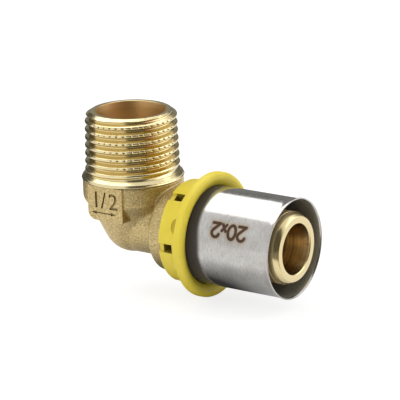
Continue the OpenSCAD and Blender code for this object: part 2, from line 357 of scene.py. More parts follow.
def turning_lines_group():
    """Fine rings that a cutting tool leaves, along X or Z: a height and a mask."""
    group, start, end = new_group(
        "turning_lines",
        {"Lines Per Metre": 9000.0, "Along X": 0.0},
        [("Height", "NodeSocketFloat"), ("Band", "NodeSocketFloat")],
    )
    nodes, links = group.nodes, group.links
    split = nodes.new("ShaderNodeSeparateXYZ")
    links.new(nodes.new("ShaderNodeTexCoord").outputs["Object"], split.inputs[0])
    mix = nodes.new("ShaderNodeMix")
    mix.data_type = "FLOAT"
    links.new(start.outputs["Along X"], mix.inputs["Factor"])
    links.new(split.outputs["Z"], mix.inputs["A"])
    links.new(split.outputs["X"], mix.inputs["B"])
    for label, share in (("Height", 1.0), ("Band", 0.12)):
        lines = nodes.new("ShaderNodeTexNoise")
        lines.noise_dimensions = "1D"
        lines.inputs["Detail"].default_value = 3.0
        scale = math_node(nodes, links, "MULTIPLY", start.outputs["Lines Per Metre"], share)
        links.new(mix.outputs["Result"], lines.inputs["W"])
        links.new(scale, lines.inputs["Scale"])
        links.new(lines.outputs["Fac"], end.inputs[label])
    return group


SHOT_BLAST = shot_blast_group()
TURNING_LINES = turning_lines_group()


# Materials


def new_material(name):
    """A material with an empty Principled shader; gives the material, nodes, links and shader."""
    material = bpy.data.materials.new(name)
    material.use_nodes = True
    nodes, links = material.node_tree.nodes, material.node_tree.links
    return material, nodes, links, nodes["Principled BSDF"]


def placed_group(nodes, group, **values):
    """A group node with its own values."""
    node = nodes.new("ShaderNodeGroup")
    node.node_tree = group
    for label, value in values.items():
        node.inputs[label.replace("_", " ")].default_value = value
    return node


def colour_ramp(nodes, links, factor, stops):
    """A Color Ramp with (position, colour) stops; gives its colour socket."""
    ramp = nodes.new("ShaderNodeValToRGB")
    elements = ramp.color_ramp.elements
    while len(elements) < len(stops):
        elements.new(0.5)
    for element, (position, colour) in zip(elements, stops):
        element.position = position
        element.color = (*colour, 1)
    links.new(factor, ramp.inputs[0])
    return ramp.outputs[0]


def bump(nodes, links, shader, height, distance, strength):
    """Roughens a shader's surface by a Bump node over a height socket."""
    node = nodes.new("ShaderNodeBump")
    node.inputs["Strength"].default_value = strength
    node.inputs["Distance"].default_value = distance
    links.new(height, node.inputs["Height"])
    links.new(node.outputs[0], shader.inputs["Normal"])


def forged_brass(name, dark, middle, pale):
    """Brass as forged and shot-blasted: sandy and satin, in three tones."""
    material, nodes, links, shader = new_material(name)
    grain = placed_group(nodes, SHOT_BLAST)
    colour = colour_ramp(nodes, links, grain.outputs["Speckle"], [(0.3, dark), (0.5, middle), (0.7, pale)])
    links.new(colour, shader.inputs["Base Color"])
    bump(nodes, links, shader, grain.outputs["Height"], distance=0.00008, strength=0.8)
    shader.inputs["Metallic"].default_value = 1.0
    shader.inputs["Roughness"].default_value = 0.45
    return material


def machined_brass(name, along_x, dark, pale, roughness=0.2, lines=9000.0):
    """Brass turned on a lathe: bright, with fine rings in two tones."""
    material, nodes, links, shader = new_material(name)
    rings = placed_group(nodes, TURNING_LINES, Lines_Per_Metre=lines, Along_X=along_x)
    colour = colour_ramp(nodes, links, rings.outputs["Band"], [(0.3, dark), (0.7, pale)])
    links.new(colour, shader.inputs["Base Color"])
    bump(nodes, links, shader, rings.outputs["Height"], distance=0.000012, strength=0.7)
    shader.inputs["Metallic"].default_value = 1.0
    shader.inputs["Roughness"].default_value = roughness
    return material


def shade_by_attribute(material, name, stops):
    """Multiplies a material's base colour by a ramp over an attribute stored on the mesh."""
    nodes, links = material.node_tree.nodes, material.node_tree.links
    base = nodes["Principled BSDF"].inputs["Base Color"]
    stored = nodes.new("ShaderNodeAttribute")
    stored.attribute_name = name
    tint = nodes.new("ShaderNodeMix")
    tint.data_type = "RGBA"
    tint.blend_type = "MULTIPLY"
    tint.inputs["Factor"].default_value = 1.0
    links.new(base.links[0].from_socket, tint.inputs[6])
    links.new(colour_ramp(nodes, links, stored.outputs["Fac"], stops), tint.inputs[7])
    links.new(tint.outputs[2], base)


def mixed_colour(nodes, links, factor, first, second):
    """A colour Mix node; first and second are sockets or plain colours."""
    mix = nodes.new("ShaderNodeMix")
    mix.data_type = "RGBA"
    links.new(factor, mix.inputs["Factor"])
    for socket, value in zip((mix.inputs[6], mix.inputs[7]), (first, second)):
        if isinstance(value, tuple):
            socket.default_value = (*value, 1)
        else:
            links.new(value, socket)
    return mix.outputs[2]


def plain_steel_colour(nodes, links, place, scratches, stains):
    """Two greys in long scratches and stains, with a few brown specks; gives the colour socket."""
    drawn = math_node(nodes, links, "ADD", math_node(nodes, links, "MULTIPLY", stains, 0.5),
                      math_node(nodes, links, "MULTIPLY", scratches, 0.5))
    plain = colour_ramp(nodes, links, drawn, [(0.38, (0.43, 0.41, 0.385)), (0.62, (0.54, 0.53, 0.51))])
    specks = noise(nodes, links, place, scale=1700.0, detail=1.0)
    speck_share = colour_ramp(nodes, links, specks, [(0.70, (0, 0, 0)), (0.76, (0.7, 0.7, 0.7))])
    return mixed_colour(nodes, links, speck_share, plain, (0.20, 0.17, 0.13))


def clear_of_band(nodes, links, place, stains):
    """0 in the dark band next to the ring and 1 past its slanted, uneven edge, as a socket."""
    split = nodes.new("ShaderNodeSeparateXYZ")
    links.new(place, split.inputs[0])
    slant = math_node(nodes, links, "MULTIPLY", split.outputs["Z"], 0.08)
    edge = math_node(nodes, links, "ADD", split.outputs["X"], slant)
    wave = math_node(nodes, links, "MULTIPLY", stains, 0.0008)
    edge = math_node(nodes, links, "ADD", edge, wave)
    clear = nodes.new("ShaderNodeMapRange")
    clear.interpolation_type = "SMOOTHSTEP"
    clear.inputs["From Min"].default_value = (BAND_EDGE_X - 0.5) * MM
    clear.inputs["From Max"].default_value = (BAND_EDGE_X + 0.7) * MM
    links.new(edge, clear.inputs["Value"])
    return clear.outputs["Result"]


def sleeve_steel():
    """Drawn stainless steel, near black in a band next to the ring, with a heat-etched size mark."""
    material, nodes, links, shader = new_material("sleeve_steel")
    place = nodes.new("ShaderNodeTexCoord").outputs["Object"]
    stretch = nodes.new("ShaderNodeMapping")
    stretch.inputs["Scale"].default_value = (5000, 900, 900)
    links.new(place, stretch.inputs["Vector"])
    scratches = noise(nodes, links, stretch.outputs[0], scale=1.0, detail=3.0)
    stains = noise(nodes, links, place, scale=260.0, detail=5.0)
    plain = plain_steel_colour(nodes, links, place, scratches, stains)
    clear = clear_of_band(nodes, links, place, stains)
    banded = mixed_colour(nodes, links, clear, (0.066, 0.058, 0.057), plain)
    links.new(banded, shader.inputs["Base Color"])
    shade_by_attribute(material, "heat_mark", [(0.0, (1, 1, 1)), (0.25, (0.80, 0.70, 0.58)),
                                               (0.6, (0.26, 0.17, 0.11)), (1.0, (0.17, 0.11, 0.075))])
    links.new(clear, shader.inputs["Metallic"])
    shader.inputs["Specular IOR Level"].default_value = 0.2
    roughness = math_node(nodes, links, "MULTIPLY", scratches, 0.16)
    links.new(math_node(nodes, links, "ADD", roughness, 0.08), shader.inputs["Roughness"])
    bump(nodes, links, shader, scratches, distance=0.000004, strength=0.5)
    return material


def inner_steel():
    """The sleeve's inner wall: the same steel, duller, as drawn."""
    material, nodes, links, shader = new_material("sleeve_inner_steel")
    rings = placed_group(nodes, TURNING_LINES, Lines_Per_Metre=2500.0, Along_X=1.0)
    colour = colour_ramp(nodes, links, rings.outputs["Band"],
                         [(0.3, (0.24, 0.235, 0.20)), (0.7, (0.36, 0.355, 0.31))])
    links.new(colour, shader.inputs["Base Color"])
    bump(nodes, links, shader, rings.outputs["Height"], distance=0.00001, strength=0.6)
    shader.inputs["Metallic"].default_value = 0.7
    shader.inputs["Roughness"].default_value = 0.5
    return material


def ring_plastic():
    """Yellow moulded plastic with a soft sheen."""
    material, nodes, links, shader = new_material("ring_plastic")
    place = nodes.new("ShaderNodeTexCoord").outputs["Object"]
    cloud = noise(nodes, links, place, scale=300.0, detail=2.0)
    colour = colour_ramp(nodes, links, cloud, [(0.35, (0.76, 0.61, 0.05)), (0.65, (0.80, 0.65, 0.065))])
    links.new(colour, shader.inputs["Base Color"])
    bump(nodes, links, shader, cloud, distance=0.00002, strength=0.5)
    shader.inputs["Roughness"].default_value = 0.42
    shader.inputs["Specular IOR Level"].default_value = 0.3
    shader.inputs["Subsurface Weight"].default_value = 0.1
    shader.inputs["Subsurface Radius"].default_value = (0.001, 0.0008, 0.0003)
    return material


def shaded_plastic(name, colour):
    """The ring's yellow where it lies in the shade, inside a window or a pocket."""
    material, _, _, shader = new_material(name)
    shader.inputs["Base Color"].default_value = (*colour, 1)
    shader.inputs["Roughness"].default_value = 0.6
    return material


def seal_rubber():
    """Black seal rubber."""
    material, _, _, shader = new_material("seal_rubber")
    shader.inputs["Base Color"].default_value = (0.02, 0.02, 0.02, 1)
    shader.inputs["Roughness"].default_value = 0.55
    return material


FORGED_BRASS = forged_brass("forged_brass", (0.37, 0.265, 0.105), (0.545, 0.42, 0.195), (0.715, 0.59, 0.32))
# Darker copy of the forged brass for the engraving's walls: painted shade in the engraved strokes
ENGRAVING_SHADE_BRASS = forged_brass("engraved_brass_painted_shade", (0.24, 0.17, 0.07), (0.33, 0.24, 0.11), (0.44, 0.33, 0.16))
TAIL_BRASS = machined_brass("machined_tail_brass", 0.0, (0.71, 0.60, 0.33), (0.80, 0.69, 0.42))
# Painted shade: the thread's grooves darker, and the notches near black as painted shadows
shade_by_attribute(TAIL_BRASS, "thread_painted_shade",
                   [(0.0, (1, 1, 1)), (0.5, (0.90, 0.86, 0.76)), (1.0, (0.14, 0.10, 0.06))])
NIPPLE_BRASS = machined_brass("machined_nipple_brass", 1.0, (0.69, 0.57, 0.31), (0.75, 0.635, 0.36))
# Bored faces: a rougher finish, and a darker, redder tone that is painted shade inside the bores
SHADED_BORE_BRASS = machined_brass("bored_brass_painted_shade", 0.0, (0.60, 0.40, 0.17), (0.72, 0.50, 0.24), 0.42, 4000.0)
# Land behind the nose: a rougher finish, and a paler tone that is painted light
NIPPLE_LAND_LIT_BRASS = machined_brass("machined_land_brass_painted_light", 1.0, (0.84, 0.69, 0.40), (0.90, 0.75, 0.45), 0.6)
NIPPLE_SHADED_BORE_BRASS = machined_brass("bored_nipple_brass_painted_shade", 1.0, (0.25, 0.175, 0.08), (0.50, 0.36, 0.18),
                                   0.25, 12000.0)
SLEEVE_STEEL = sleeve_steel()
INNER_STEEL = inner_steel()
RING_PLASTIC = ring_plastic()
# Darker yellows inside the windows and the pockets: painted shade
RING_SHADE = shaded_plastic("ring_plastic_shade", (0.26, 0.19, 0.02))
RING_POCKET_SHADE = shaded_plastic("ring_plastic_pocket_shade", (0.56, 0.44, 0.035))
SEAL_RUBBER = seal_rubber()


# Threaded tail


def crest_radius(z):
    """Radius of the thread's crest at a height, in millimetres."""
    return (THREAD_D + (THREAD_TOP - z - GAUGE_LENGTH) * TAPER) / 2


def bevel_radius(z):
    """Radius of the bevelled start of the thread at a height, in millimetres."""
    return TAIL_BORE_R + RIM_W + RIM_BEVEL_SLOPE * (THREAD_TOP - z)


# One pitch of the thread: (share of the pitch, share of the depth)
THREAD_WAVE = [
    (-0.42, 0.04), (-0.36, 0.16), (-0.30, 0.36), (-0.24, 0.60), (-0.18, 0.81), (-0.12, 0.93),
    (-0.06, 0.985), (0.0, 1.0), (0.06, 0.985), (0.12, 0.93), (0.18, 0.81), (0.24, 0.60),
    (0.30, 0.36), (0.36, 0.16), (0.42, 0.04), (0.47, 0.0), (0.53, 0.0),
]


def smooth_share(value):
    """A value held between 0 and 1 and eased at both ends."""
    value = min(1.0, max(0.0, value))
    return value * value * (3 - 2 * value)


def crest_place(vert):
    """Turns along the helix to a point, and its distance from the crest in shares of the pitch."""
    turns = math.atan2(vert.co.y, vert.co.x) / math.tau
    rise = vert.co.z / MM / PITCH - turns - CREST_PHASE
    return round(rise) + turns, abs(rise - round(rise))


def notch_share(vert):
    """Share of the full notch depth at a point: small pits on the crest, fading near the collar."""
    along, apart = crest_place(vert)
    phase = (along * NOTCHES_PER_TURN) % 1.0
    from_notch = min(abs(phase - NOTCH_PHASE), 1 - abs(phase - NOTCH_PHASE))
    from_side = abs((along * 360 - NOTCH_FADE_SIDE + 180) % 360 - 180)
    faded = smooth_share((NOTCH_FADE_ANGLE - from_side) / NOTCH_FADE_SPAN)
    lowest = NOTCH_BOTTOM + NOTCH_FADE_HEIGHT * faded
    above = smooth_share((vert.co.z / MM - lowest) / NOTCH_FADE_BAND + 0.5)
    aside = smooth_share((from_side - NOTCH_FREE_ANGLE) / NOTCH_FREE_SPAN)
    across = max(0.0, 1 - (apart / NOTCH_REACH) ** 2)
    return above * aside * across * math.exp(-((from_notch / NOTCH_WIDTH) ** 2))


def helical_surface():
    """The tail's outer surface, longer than the tail at both ends."""
    bm = bmesh.new()
    turns = range(-2, int(THREAD_TOP / PITCH) + 3)
    points = [
        (crest_radius(0) - THREAD_DEPTH * (1 - depth), (turn + rise + CREST_PHASE) * PITCH)
        for turn in turns for rise, depth in THREAD_WAVE
    ]
    steps = int(NOTCHES_PER_TURN * NOTCH_STEPS)
    wire = add_profile(bm, points, closed=False)
    bmesh.ops.spin(bm, geom=wire, cent=(0, 0, 0), axis=(0, 0, 1),
                   dvec=(0, 0, PITCH * MM / steps), angle=math.tau, steps=steps,
                   use_merge=False, use_duplicate=False)
    bmesh.ops.remove_doubles(bm, verts=bm.verts[:], dist=1e-6)
    return bm


def shape_thread(bm):
    """Gives the thread its taper, its bevelled start, its run-out and its notched crests."""
    base = crest_radius(0)
    for vert in bm.verts:
        z = vert.co.z / MM
        depth = base - vert.co.xy.length / MM
        runout = min(1.0, max(0.0, (z - THREAD_BOTTOM) / (RUNOUT_TOP - THREAD_BOTTOM)))
        radius = crest_radius(z) - depth * (RUNOUT_DEPTH_SHARE + (1 - RUNOUT_DEPTH_SHARE) * runout)
        radius -= NOTCH_DEPTH * notch_share(vert)
        radius = min(radius, bevel_radius(z))
        radius = max(radius, TAIL_BORE_R + RIM_W / 2)
        direction = vert.co.xy.normalized() * radius * MM
        vert.co.x, vert.co.y = direction


def thread_painted_shade(bm):
    """Stores painted shade: 0 where bright, a set share in the thread's grooves, 1 in the notches."""
    layer = bm.verts.layers.float.new("thread_painted_shade")
    for vert in bm.verts:
        z = vert.co.z / MM
        depth = crest_radius(z) - vert.co.xy.length / MM
        bevelled = vert.co.xy.length / MM > bevel_radius(z) - 0.01
        if THREAD_BOTTOM < z < THREAD_TOP - 0.03 and not bevelled:
            # Painted shade down in the grooves, painted shadow in the notches
            groove = smooth_share(crest_place(vert)[1] / 0.36) * smooth_share((z - 0.3) / 1.2)
            groove *= GROOVE_PAINTED_SHADE * smooth_share(depth / 0.6)
            vert[layer] = max(groove, min(1.0, 1.4 * notch_share(vert)))


def trim(bm, height, up):
    """Cuts the surface square at a height and gives the edges of the cut."""
    geometry = bm.verts[:] + bm.edges[:] + bm.faces[:]
    cut = bmesh.ops.bisect_plane(bm, geom=geometry, dist=1e-7, plane_co=(0, 0, height * MM),
                                 plane_no=(0, 0, 1 if up else -1), clear_outer=True)
    return [part for part in cut["geom_cut"] if isinstance(part, bmesh.types.BMEdge)]


def carry_edge(bm, edges, points):
    """Extrudes a round open edge through [radius, height] points, one ring of faces for each."""
    for radius, height in points:
        grown = bmesh.ops.extrude_edge_only(bm, edges=edges)["geom"]
        edges = [part for part in grown if isinstance(part, bmesh.types.BMEdge)]
        for vert in {v for part in edges for v in part.verts}:
            flat = vert.co.xy.normalized() * radius * MM
            vert.co = (flat.x, flat.y, height * MM)
    return edges


def threaded_tail():
    """Thread, rim, tail bore and the machined band of the collar."""
    bm = helical_surface()
    shape_thread(bm)
    top = trim(bm, THREAD_TOP - 0.02, True)
    low = trim(bm, THREAD_BOTTOM, False)
    rim = TAIL_BORE_R + RIM_W
    bore_end = carry_edge(bm, top, [
        (rim - 0.04, THREAD_TOP), (TAIL_BORE_R + 0.25, THREAD_TOP), (TAIL_BORE_R + 0.06, THREAD_TOP - 0.06),
        (TAIL_BORE_R, THREAD_TOP - 0.25), (TAIL_BORE_R, BAND_BOTTOM - 0.2),
    ])
    band_end = carry_edge(bm, low, [
        (NECK_R - 0.16, THREAD_BOTTOM - 0.02), (NECK_R - 0.08, THREAD_BOTTOM - 0.06),
        (NECK_R, THREAD_BOTTOM - 0.14), (FORGED_R - 0.12, SHELF_Z + 0.14), (FORGED_R - 0.04, SHELF_Z + 0.08),
        (FORGED_R, SHELF_Z), (FORGED_R, SHELF_Z - 0.12), (FORGED_R + 0.03, SHELF_Z - 0.18),
        (COLLAR_R - 0.03, SHELF_Z - 0.3), (COLLAR_R, SHELF_Z - 0.35), (COLLAR_R, BAND_BOTTOM + 0.06),
        (COLLAR_R - 0.04, BAND_BOTTOM), (FORGED_R - 0.4, BAND_BOTTOM - 0.06),
        (FORGED_R - 1.0, BAND_BOTTOM - 0.3), (TAIL_BORE_R + 0.1, BAND_BOTTOM - 0.3),
    ])
    bmesh.ops.bridge_loops(bm, edges=bore_end + band_end)
    bmesh.ops.remove_doubles(bm, verts=bm.verts[:], dist=2e-6)
    thread_painted_shade(bm)
    piece = finish_piece("threaded_tail", bm, [TAIL_BRASS, SHADED_BORE_BRASS])
    mark_bore(piece, "Z", TAIL_BORE_R + 0.04)
    return piece


# Forged elbow


def join_into(target, source):
    """Adds one bmesh's geometry to another."""
    mesh = bpy.data.meshes.new("joining")
    source.to_mesh(mesh)
    source.free()
    target.from_mesh(mesh)
    bpy.data.meshes.remove(mesh)


def trunk_radius(z):
    """Radius of the tapered trunk, a cone that runs into the round heel."""
    angle = math.radians(TRUNK_HALF_ANGLE)
    return (HEEL_R + (z + AXIS_DROP - HEEL_RISE) * math.sin(angle)) / math.cos(angle)


def collar_and_heel():
    """Forged collar, trunk and round heel, turned about the thread axis."""
    points = [(0, BAND_BOTTOM - 0.15), (FORGED_R, BAND_BOTTOM - 0.15)]
    points += ring_points((FORGED_R - COLLAR_EDGE_R, COLLAR_EDGE_Z), COLLAR_EDGE_R, 0, -50, 6)
    points += [(trunk_radius(TRUNK_TOP), TRUNK_TOP)]
    points += ring_points((0, -AXIS_DROP + HEEL_RISE), HEEL_R, -TRUNK_HALF_ANGLE, -90, 12)
    return turned(points, 120)


def inside_bend():
    """Quarter torus that fills the inside corner of the elbow."""
    bm = bmesh.new()
    matrix = Matrix.Translation((0, 0, (BEND_R - AXIS_DROP) * MM))
    circle = bmesh.ops.create_circle(bm, cap_ends=True, segments=64, radius=ARM_R * MM, matrix=matrix)
    geometry = circle["verts"] + bm.edges[:] + bm.faces[:]
    bmesh.ops.spin(bm, geom=geometry, cent=(BEND_R * MM, 0, (BEND_R - AXIS_DROP) * MM), axis=(0, 1, 0),
                   dvec=(0, 0, 0), angle=-math.radians(90), steps=32, use_merge=False, use_duplicate=False)
    bmesh.ops.recalc_face_normals(bm, faces=bm.faces[:])
    return bm


def arm_and_shoulder():
    """Level arm and shoulder, turned about the pipe axis."""
    points = [(0, 0), (0, ARM_R)]
    points += ring_points((SHOULDER_X - 0.8, ARM_R + 0.8), 0.8, 270, 360, 5)
    edge = (SHOULDER_X + SHOULDER_EDGE_R, SHOULDER_R - SHOULDER_EDGE_R)
    points += ring_points(edge, SHOULDER_EDGE_R, 180, 90, 5)
    points += [(SHOULDER_END, SHOULDER_R), (SHOULDER_END, 0)]
    return turned_on_pipe(points, 120)


def flat_pad(side):
    """Pad that carries the wrench flat on one side, with its corner at the back rounded."""
    bm = bmesh.new()
    top = BAND_BOTTOM - 0.15
    outline = [(FLAT_LEFT, top)]
    corner = (FLAT_LEFT + FLAT_CORNER_R, -FLAT_DROP + FLAT_CORNER_R)
    outline += ring_points(corner, FLAT_CORNER_R, 180, 270, 8)
    outline += [(FLAT_RIGHT - 0.2, -FLAT_DROP), (FLAT_RIGHT, -FLAT_DROP + 0.2), (FLAT_RIGHT, top)]
    face = bm.faces.new([bm.verts.new((x * MM, 0, z * MM)) for x, z in outline])
    grown = bmesh.ops.extrude_face_region(bm, geom=[face])["geom"]
    moved = [part for part in grown if isinstance(part, bmesh.types.BMVert)]
    bmesh.ops.translate(bm, verts=moved, vec=(0, side * FLAT_HALF * MM, 0))
    bmesh.ops.recalc_face_normals(bm, faces=bm.faces[:])
    return bm


def flat_cutter(side):
    """Block that cuts the collar back to the plane of a wrench flat."""
    bm = bmesh.new()
    depth = 4.0
    top = BAND_BOTTOM - 0.1
    size = Vector((FLAT_RIGHT - FLAT_LEFT, depth, FLAT_DROP + top))
    middle = Vector(((FLAT_LEFT + FLAT_RIGHT) / 2, side * (FLAT_HALF + depth / 2), (top - FLAT_DROP) / 2))
    matrix = Matrix.Translation(middle * MM) @ Matrix.Diagonal((*(size * MM), 1))
    bmesh.ops.create_cube(bm, size=1, matrix=matrix)
    return bm


def bore_cutter():
    """The bores from both ends, as one joined cutter."""
    tail_tip = (TAIL_BORE_R - TRUNK_BORE_R) / DRILL_TIP_SLOPE
    upright = turned([
        (0, -AXIS_DROP), (TRUNK_BORE_R, -AXIS_DROP), (TRUNK_BORE_R, -TAIL_BORE_DEPTH - tail_tip),
        (TAIL_BORE_R, -TAIL_BORE_DEPTH), (TAIL_BORE_R, 1.0), (0, 1.0),
    ], 160)
    level = turned_on_pipe([
        (-BORE_OVERRUN - ARM_BORE_R / DRILL_TIP_SLOPE, 0), (-BORE_OVERRUN, ARM_BORE_R),
        (SHOULDER_END + 1, ARM_BORE_R), (SHOULDER_END + 1, 0),
    ], 160)
    upright_piece = finish_piece("upright_bore", upright, [SHADED_BORE_BRASS])
    level_piece = finish_piece("level_bore", level, [SHADED_BORE_BRASS])
    return finish_piece("bores", combined(upright_piece, level_piece, "UNION"), [SHADED_BORE_BRASS])


def size_text():
    """The size mark 1/2 as a solid about the XY plane."""
    text = bpy.data.curves.new("pad_mark", "FONT")
    text.body = "1/2"
    text.size = PAD_MARK_SIZE * MM
    text.space_character = 1.15
    text.body_format[0].kerning = -7
    text.body_format[1].kerning = 7
    text.extrude = ENGRAVING_DEPTH * MM
    text.offset = 0.05 * MM
    text.resolution_u = 3
    holder = bpy.data.objects.new("pad_mark", text)
    bpy.context.collection.objects.link(holder)
    return baked(holder)


def double_arrow():
    """The arrow with a head at both ends, as a solid about the XY plane."""
    bm = bmesh.new()
    tail, head, thin, wide = 1.9, 3.4, 0.13, 0.42
    outline = [(-head, 0), (-tail, -wide), (-tail, -thin), (tail, -thin), (tail, -wide),
               (head, 0), (tail, wide), (tail, thin), (-tail, thin), (-tail, wide)]
    low = -ENGRAVING_DEPTH * MM
    face = bm.faces.new([bm.verts.new((x * MM, z * MM, low)) for x, z in outline])
    grown = bmesh.ops.extrude_face_region(bm, geom=[face])["geom"]
    moved = [part for part in grown if isinstance(part, bmesh.types.BMVert)]
    bmesh.ops.translate(bm, verts=moved, vec=(0, 0, 2 * ENGRAVING_DEPTH * MM))
    bmesh.ops.translate(bm, verts=bm.verts[:], vec=(ARROW_X * MM, ARROW_Z * MM, 0))
    return bm


def engraving_cutter():
    """The size mark with the double arrow below it, as solids that reach into the front pad."""
    bm = size_text()
    join_into(bm, double_arrow())
    bmesh.ops.remove_doubles(bm, verts=bm.verts[:], dist=1e-7)
    bm.transform(Matrix.Translation(Vector((PAD_MARK_X, -FLAT_HALF, PAD_MARK_Z)) * MM)
                 @ Matrix.Rotation(math.radians(90), 4, "X"))
    # The cutter's darker brass is painted shade on the walls it cuts
    return finish_piece("pad_mark", bm, [ENGRAVING_SHADE_BRASS])


def blend_crotch(bm):
    """Eases the hollow where the upright trunk meets the arm."""
    hollow = []
    for vert in bm.verts:
        x, y, z = vert.co / MM
        off_pad = x > PAD_EDGE_X or z < PAD_EDGE_Z
        if CROTCH_Z[0] < z < CROTCH_Z[1] and CROTCH_X[0] < x < CROTCH_X[1] and off_pad:
            hollow.append(vert)
    for _ in range(CROTCH_SMOOTHING):
        bmesh.ops.smooth_vert(bm, verts=hollow, factor=0.5,
                              use_axis_x=True, use_axis_y=True, use_axis_z=True)


def forged_elbow():
    """The forged part of the body, blended as a die leaves it, with the bores cut through."""
    blank = finish_piece("forged_blank", collar_and_heel(), [FORGED_BRASS])
    for side in (-1, 1):
        cutter = finish_piece("flat_cutter", flat_cutter(side), [FORGED_BRASS])
        blank = finish_piece("forged_blank", combined(blank, cutter, "DIFFERENCE"), [FORGED_BRASS])
    bm = baked(blank)
    for part in (inside_bend(), arm_and_shoulder(), flat_pad(-1), flat_pad(1)):
        join_into(bm, part)
    piece = finish_piece("forged_elbow", bm, [FORGED_BRASS])
    blend = piece.modifiers.new("die_blend", "REMESH")
    blend.mode = "VOXEL"
    blend.voxel_size = FORGED_VOXEL * MM
    soften = piece.modifiers.new("soften", "SMOOTH")
    soften.factor = 0.5
    soften.iterations = FORGED_SMOOTHING
    materials = [FORGED_BRASS, SHADED_BORE_BRASS, ENGRAVING_SHADE_BRASS]
    bm = baked(piece)
    blend_crotch(bm)
    piece = finish_piece("forged_elbow", bm, materials, sharp=60)
    for cutter in (bore_cutter(), engraving_cutter()):
        piece = finish_piece("forged_elbow", combined(piece, cutter, "DIFFERENCE"), materials, sharp=60)
    return piece


# Nipple, seals, sleeve and ring


def seal_groove(x):
    """Profile points of one seal groove, with eased edges."""
    half = SEAL_W / 2
    return [
        (x - half - 0.08, NIPPLE_R), (x - half, NIPPLE_R - 0.08), (x - half, SEAL_FLOOR_R + 0.1),
        (x - half + 0.1, SEAL_FLOOR_R), (x + half - 0.1, SEAL_FLOOR_R), (x + half, SEAL_FLOOR_R + 0.1),
        (x + half, NIPPLE_R - 0.08), (x + half + 0.08, NIPPLE_R),
    ]


def press_nipple():
    """Machined nipple that enters the pipe."""
    barb_start = (FRONT_SEAL_X + REAR_SEAL_X - BARB_COUNT * BARB_L) / 2
    points = [
        (SHOULDER_END - 0.4, ARM_BORE_R), (SHOULDER_END - 0.4, SNAP_R), (SNAP_END, SNAP_R),
        (SNAP_END, NIPPLE_R - 0.3), (SNAP_END + 0.3, NIPPLE_R),
    ]
    points += seal_groove(REAR_SEAL_X)
    for i in range(BARB_COUNT):
        start = barb_start + i * BARB_L
        points += [(start, NIPPLE_R), (start + 0.02, NIPPLE_R - BARB_DEPTH)]
    points += [(barb_start + BARB_COUNT * BARB_L, NIPPLE_R)]
    points += seal_groove(FRONT_SEAL_X)
    points += [
        (REACH - 2.36, NIPPLE_R), (REACH - 2.3, NIPPLE_R - 0.08), (REACH - 2.16, NIPPLE_R - 0.08),
        (REACH - 2.1, NIPPLE_R - 0.01), (REACH - 1.8, NIPPLE_R), (REACH - 1.5, NIPPLE_R - 0.02),
        (REACH - 1.25, NIPPLE_R - 0.08), (REACH - 1.05, NIPPLE_R - 0.17), (REACH - 0.06, NOSE_R + 0.04),
        (REACH, NOSE_R - 0.06),
        (REACH, NIPPLE_BORE_R + 0.24), (REACH - 0.04, NIPPLE_BORE_R + 0.14), (REACH - 0.24, NIPPLE_BORE_R),
        (SHOULDER_END - 1, NIPPLE_BORE_R), (SHOULDER_END - 1, ARM_BORE_R),
    ]
    materials = [NIPPLE_BRASS, NIPPLE_SHADED_BORE_BRASS, NIPPLE_LAND_LIT_BRASS]
    piece = finish_piece("press_nipple", turned_on_pipe(points, 256), materials)
    mark_bore(piece, "X", NIPPLE_BORE_R + 0.05)
    # The land behind the polished nose gets the paler brass: painted light
    for face in piece.data.polygons:
        if face.material_index == 0 and FRONT_SEAL_X < face.center.x / MM < REACH - POLISHED_NOSE_L:
            face.material_index = 2
    return piece


def mark_strokes():
    """The size mark 20x2 as open strokes of [along, up] points, one letter height tall."""
    two = ring_points((0.3, 0.7), 0.3, 165, -40, 9) + [(0.02, 0.0), (0.62, 0.0)]
    angles = [math.tau * i / 16 for i in range(17)]
    oval = [(0.31 + 0.31 * math.cos(angle), 0.5 + 0.5 * math.sin(angle)) for angle in angles]
    cross = [[(0.05, 0.04), (0.37, 0.5)], [(0.05, 0.5), (0.37, 0.04)]]
    strokes = [two, [(x + 0.8, y) for x, y in oval]]
    strokes += [[(x + 1.58, y) for x, y in stroke] for stroke in cross]
    strokes.append([(x + 2.14, y) for x, y in two])
    return strokes


def stroke_distance(point, strokes):
    """Distance from a point to the nearest stroke."""
    nearest = math.inf
    for stroke in strokes:
        for start, end in zip(stroke, stroke[1:]):
            run = (end[0] - start[0], end[1] - start[1])
            gap = (point[0] - start[0], point[1] - start[1])
            share = (gap[0] * run[0] + gap[1] * run[1]) / (run[0] ** 2 + run[1] ** 2)
            share = min(1.0, max(0.0, share))
            nearest = min(nearest, math.hypot(gap[0] - share * run[0], gap[1] - share * run[1]))
    return nearest


def mark_place(vert):
    """Where a point of the sleeve lies in the mark, as [along, up] in letter heights."""
    angle = math.degrees(math.atan2(vert.co.z / MM + AXIS_DROP, -vert.co.y / MM))
    along = (MARK_START_X - vert.co.x / MM) / MARK_HEIGHT
    up = math.radians(MARK_BASE_ANGLE - angle) * SLEEVE_R / MARK_HEIGHT
    return along, up


